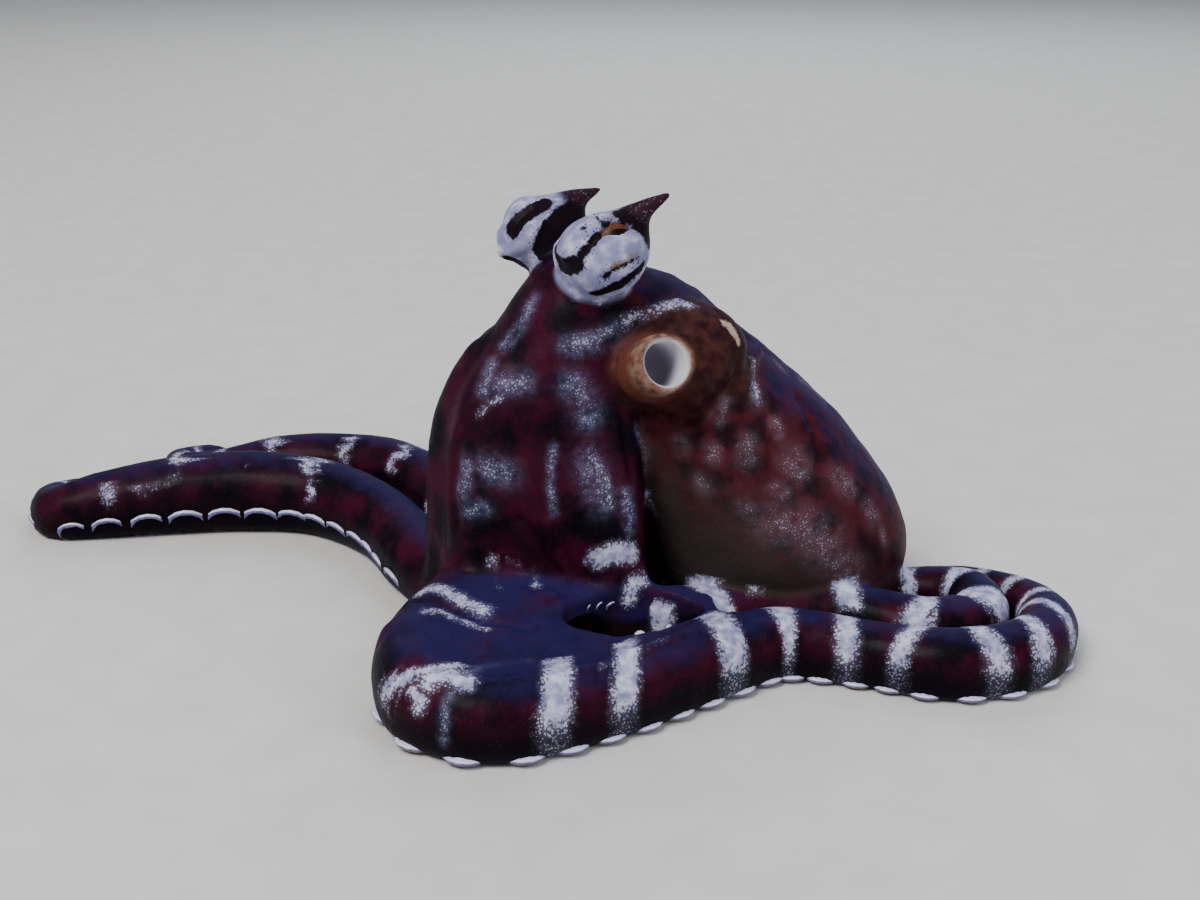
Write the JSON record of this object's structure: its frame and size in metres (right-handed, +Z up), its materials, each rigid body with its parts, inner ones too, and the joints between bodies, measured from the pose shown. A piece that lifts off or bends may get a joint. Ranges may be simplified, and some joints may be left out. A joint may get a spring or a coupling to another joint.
{
  "type": "octopus model",
  "caption": "Life-size still model of a mimic octopus sitting up on a flat floor, arm crown in front, mantle leaning behind, banded arms looped along the floor.",
  "frame": {"origin": "middle of the footprint box, on the floor that the arms lie on", "axes": "+Z up; +X from the arms that trail away on one side towards the mantle and the looped arms; +Y away from the side that the funnel and the near eye face"},
  "size_m": [0.1578, 0.1276, 0.0627],
  "materials": {
    "dark_skin": "wet dark maroon skin with white bands",
    "brown_skin": "wet mottled brown skin with pale specks",
    "eye": "glossy eye with a dark slit pupil"
  },
  "bodies": {
    "root": {"head": "dark_skin", "eye_left": "eye", "eye_right": "eye", "horn_left": "brown_skin", "horn_right": "brown_skin", "arm_crown": "dark_skin", "web_left": "dark_skin", "web_left_margin": "dark_skin", "funnel": "brown_skin", "mantle": "brown_skin", "arm_left_1_part_1": "dark_skin", "arm_left_1_part_2": "dark_skin", "arm_left_1_part_3": "dark_skin", "arm_left_1_part_4": "dark_skin", "arm_left_1_part_5": "dark_skin", "arm_left_2_part_1": "dark_skin", "arm_left_2_part_2": "dark_skin", "arm_left_2_part_3": "dark_skin", "arm_left_2_part_4": "dark_skin", "arm_left_2_part_5": "dark_skin", "arm_left_2_part_6": "dark_skin", "arm_left_2_part_7": "dark_skin", "arm_left_3_part_1": "dark_skin", "arm_left_3_part_2": "dark_skin", "arm_left_3_part_3": "dark_skin", "arm_left_3_part_4": "dark_skin", "arm_left_3_part_5": "dark_skin", "arm_left_4_part_1": "dark_skin", "arm_left_4_part_2": "dark_skin", "arm_left_4_part_3": "dark_skin", "arm_left_4_part_4": "dark_skin", "arm_left_4_part_5": "dark_skin", "arm_right_1_part_1": "dark_skin", "arm_right_1_part_2": "dark_skin", "arm_right_1_part_3": "dark_skin", "arm_right_1_part_4": "dark_skin", "arm_right_1_part_5": "dark_skin", "arm_right_2_part_1": "dark_skin", "arm_right_2_part_2": "dark_skin", "arm_right_2_part_3": "dark_skin", "arm_right_2_part_4": "dark_skin", "arm_right_2_part_5": "dark_skin", "arm_right_3_part_1": "dark_skin", "arm_right_3_part_2": "dark_skin", "arm_right_3_part_3": "dark_skin", "arm_right_3_part_4": "dark_skin", "arm_right_3_part_5": "dark_skin", "arm_right_4_part_1": "dark_skin", "arm_right_4_part_2": "dark_skin", "arm_right_4_part_3": "dark_skin", "arm_right_4_part_4": "dark_skin", "arm_right_4_part_5": "dark_skin"}
  },
  "joints": []
}
